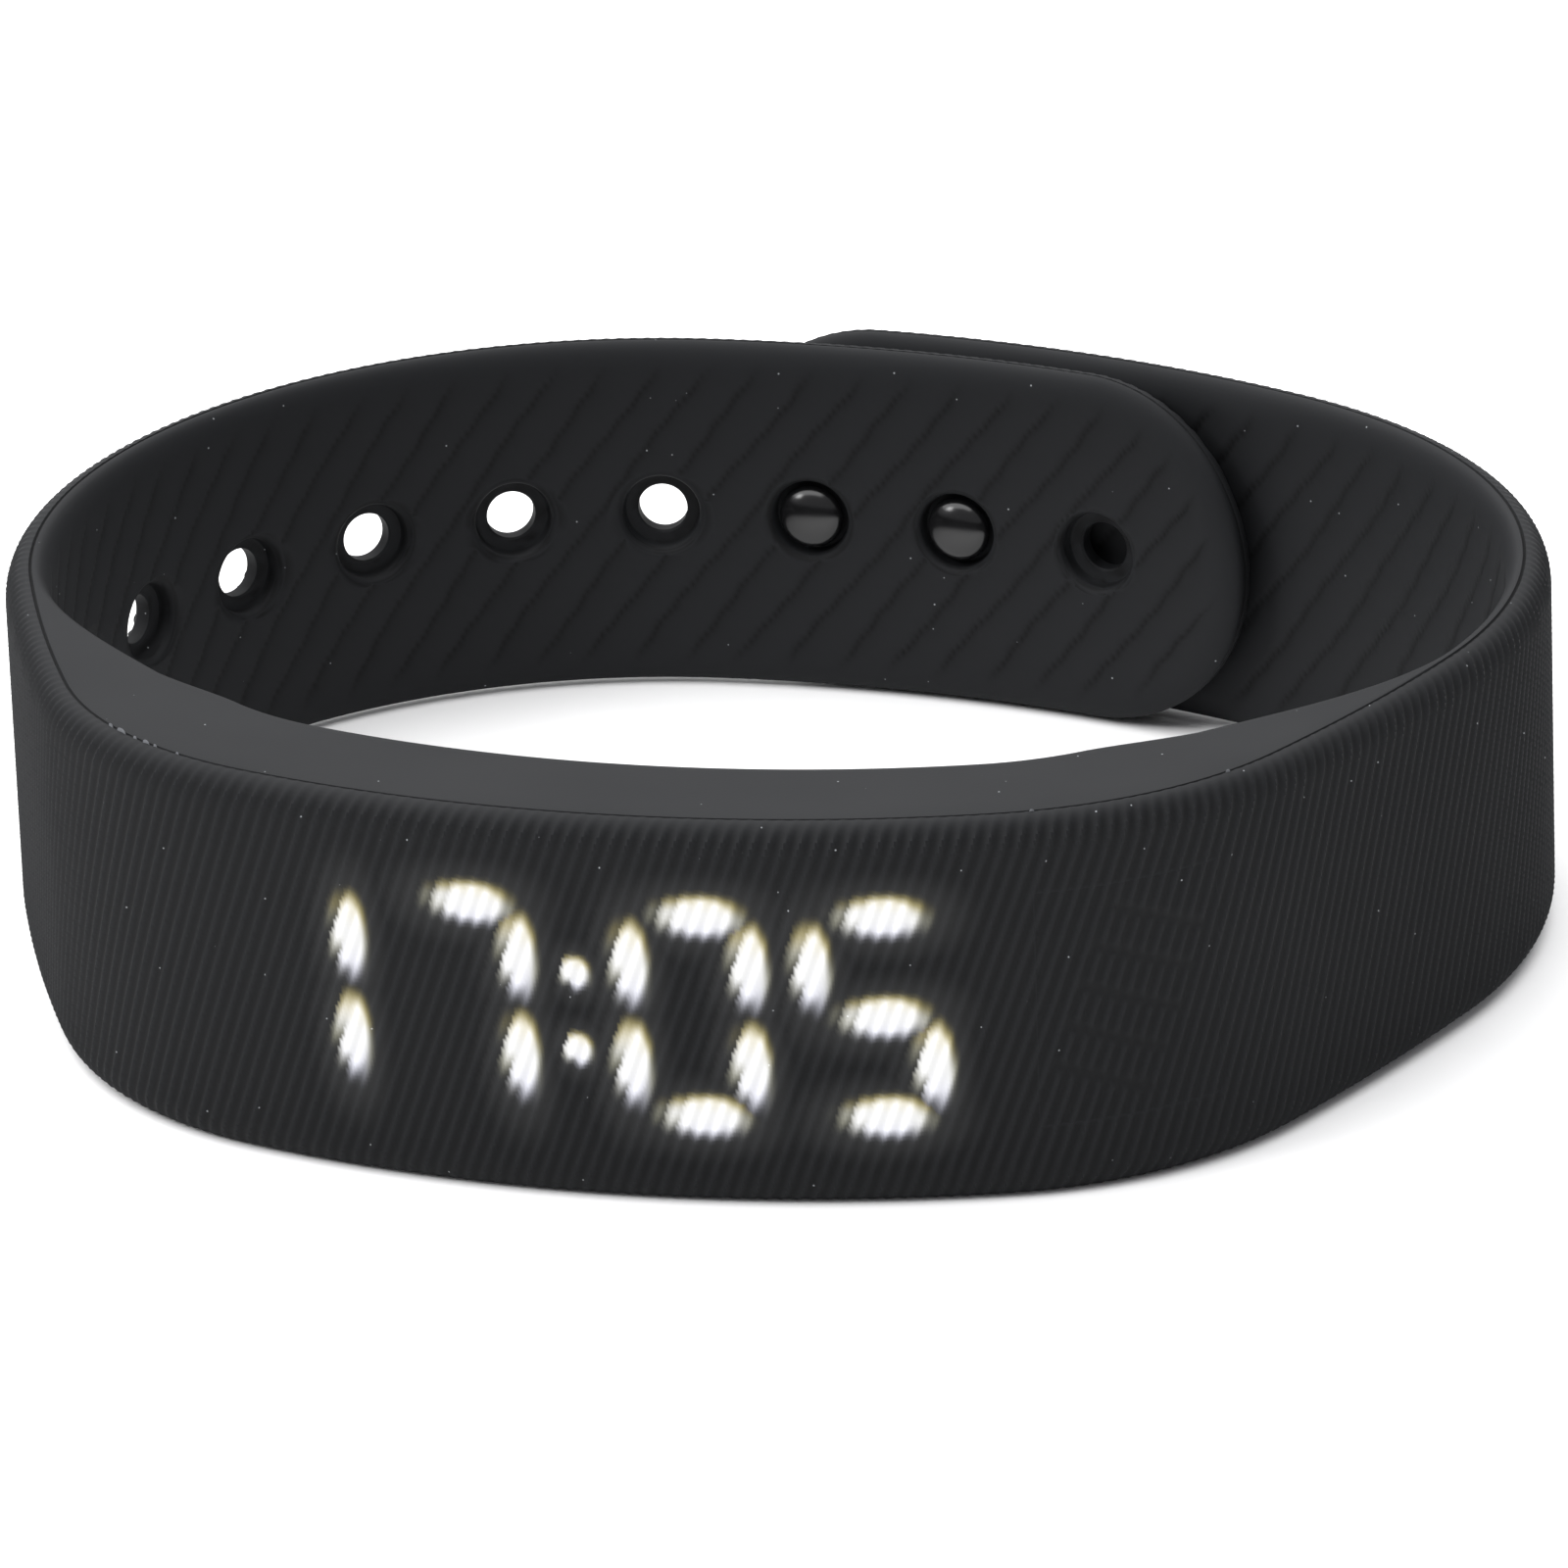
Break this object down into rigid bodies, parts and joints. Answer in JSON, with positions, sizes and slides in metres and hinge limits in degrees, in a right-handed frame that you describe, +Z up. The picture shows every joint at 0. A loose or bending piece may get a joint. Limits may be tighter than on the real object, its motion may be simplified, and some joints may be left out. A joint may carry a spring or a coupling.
{
  "type": "fitness tracker band",
  "caption": "Ribbed black silicone wrist band with a curved digital display core, a press key and a strap that snaps into a row of holes on two pegs.",
  "frame": {"origin": "under the middle of the closed band, on the surface that it stands on", "axes": "+Z up along the wrist's axis, -Y towards the display, +X to the display's right"},
  "size_m": [0.0748, 0.0675, 0.0188],
  "materials": {
    "silicone": "matte black moulded silicone, finely ribbed outside",
    "clasp_gloss": "glossy black moulded plastic",
    "case_plastic": "matte black moulded plastic",
    "seal_rubber": "soft silicone seal",
    "mask_white": "matte white moulded plastic",
    "circuit_board": "green solder mask on glass fibre laminate",
    "flex_board": "amber polyimide flexible board",
    "chip_black": "black moulded epoxy package",
    "steel": "plain stainless steel",
    "gold_contact": "gold-plated contact",
    "cell_foil": "aluminium laminate pouch",
    "wire_red": "red wire insulation",
    "wire_black": "black wire insulation"
  },
  "bodies": {
    "core": {"antenna": "gold_contact", "band_sleeve": "silicone", "battery_cell": "cell_foil", "battery_lead_minus": "wire_black", "battery_lead_plus": "wire_red", "case_seal": "seal_rubber", "charge_contact_1": "gold_contact", "charge_contact_2": "gold_contact", "clock_crystal": "steel", "flex_connector": "mask_white", "front_case": "case_plastic", "led_board": "flex_board", "light_mask": "mask_white", "main_board": "circuit_board", "motion_sensor": "chip_black", "processor_chip": "chip_black", "rear_case": "case_plastic", "rear_screw_1": "steel", "rear_screw_2": "steel", "rear_screw_3": "steel", "rear_screw_4": "steel", "tact_switch": "steel", "vibration_motor": "steel"},
    "peg_strap_1": {"peg_strap_link_1": "silicone"},
    "peg_strap_2": {"peg_strap_link_2": "silicone"},
    "peg_strap_3": {"peg_strap_link_3": "silicone"},
    "peg_strap_4": {"peg_strap_link_4": "silicone"},
    "peg_strap_5": {"peg_strap_link_5": "silicone", "peg_clasp": "clasp_gloss"},
    "hole_strap_1": {"hole_strap_link_1": "silicone"},
    "hole_strap_2": {"hole_strap_link_2": "silicone"},
    "hole_strap_3": {"hole_strap_link_3": "silicone"},
    "hole_strap_4": {"hole_strap_link_4": "silicone"},
    "hole_strap_5": {"hole_strap_link_5": "silicone"},
    "key": {"key_pad": "silicone", "key_plunger": "case_plastic"}
  },
  "joints": [
    {"name": "peg_strap_bend_1", "type": "hinge", "parent": "core", "child": "peg_strap_1", "pos_m": [0.03241, -0.0158, 0.00935], "axis": [0, 0, -1], "range_deg": [0, 22], "stiffness_Nm_per_rad": 0.002, "deforming": ["hole_strap_link_5"]},
    {"name": "peg_strap_bend_2", "type": "hinge", "parent": "peg_strap_1", "child": "peg_strap_2", "pos_m": [0.0373, -0.00064, 0.00935], "axis": [0, 0, -1], "range_deg": [0, 22], "stiffness_Nm_per_rad": 0.002},
    {"name": "peg_strap_bend_3", "type": "hinge", "parent": "peg_strap_2", "child": "peg_strap_3", "pos_m": [0.03435, 0.01486, 0.00935], "axis": [0, 0, -1], "range_deg": [0, 22], "stiffness_Nm_per_rad": 0.002},
    {"name": "peg_strap_bend_4", "type": "hinge", "parent": "peg_strap_3", "child": "peg_strap_4", "pos_m": [0.02349, 0.02632, 0.00935], "axis": [0, 0, -1], "range_deg": [0, 22], "stiffness_Nm_per_rad": 0.002},
    {"name": "peg_strap_bend_5", "type": "hinge", "parent": "peg_strap_4", "child": "peg_strap_5", "pos_m": [0.00858, 0.03198, 0.00935], "axis": [0, 0, -1], "range_deg": [0, 22], "stiffness_Nm_per_rad": 0.002},
    {"name": "hole_strap_bend_1", "type": "hinge", "parent": "core", "child": "hole_strap_1", "pos_m": [-0.03236, -0.0158, 0.00935], "axis": [0, 0, 1], "range_deg": [0, 6.6], "stiffness_Nm_per_rad": 0.002},
    {"name": "hole_strap_bend_2", "type": "hinge", "parent": "hole_strap_1", "child": "hole_strap_2", "pos_m": [-0.03728, -0.00065, 0.00935], "axis": [0, 0, 1], "range_deg": [0, 6.6], "stiffness_Nm_per_rad": 0.002},
    {"name": "hole_strap_bend_3", "type": "hinge", "parent": "hole_strap_2", "child": "hole_strap_3", "pos_m": [-0.03455, 0.01491, 0.00935], "axis": [0, 0, 1], "range_deg": [0, 6.6], "stiffness_Nm_per_rad": 0.002},
    {"name": "hole_strap_bend_4", "type": "hinge", "parent": "hole_strap_3", "child": "hole_strap_4", "pos_m": [-0.02404, 0.0267, 0.00935], "axis": [0, 0, 1], "range_deg": [0, 6.6], "stiffness_Nm_per_rad": 0.002},
    {"name": "hole_strap_bend_5", "type": "hinge", "parent": "hole_strap_4", "child": "hole_strap_5", "pos_m": [-0.0089, 0.03121, 0.00935], "axis": [0, 0, 1], "range_deg": [0, 6.6], "stiffness_Nm_per_rad": 0.002},
    {"name": "key_press", "type": "slide", "parent": "core", "child": "key", "axis": [-0.5837, 0.8119, 0], "range_m": [0, 0.00025], "stiffness_N_per_m": 3000}
  ],
  "couplings": [
    {"joint": "peg_strap_bend_2", "follows": "peg_strap_bend_1", "ratio": 1},
    {"joint": "peg_strap_bend_3", "follows": "peg_strap_bend_1", "ratio": 1},
    {"joint": "peg_strap_bend_4", "follows": "peg_strap_bend_1", "ratio": 1},
    {"joint": "peg_strap_bend_5", "follows": "peg_strap_bend_1", "ratio": 1},
    {"joint": "hole_strap_bend_1", "follows": "peg_strap_bend_1", "ratio": 0.3},
    {"joint": "hole_strap_bend_2", "follows": "peg_strap_bend_1", "ratio": 0.3},
    {"joint": "hole_strap_bend_3", "follows": "peg_strap_bend_1", "ratio": 0.3},
    {"joint": "hole_strap_bend_4", "follows": "peg_strap_bend_1", "ratio": 0.3},
    {"joint": "hole_strap_bend_5", "follows": "peg_strap_bend_1", "ratio": 0.3}
  ]
}
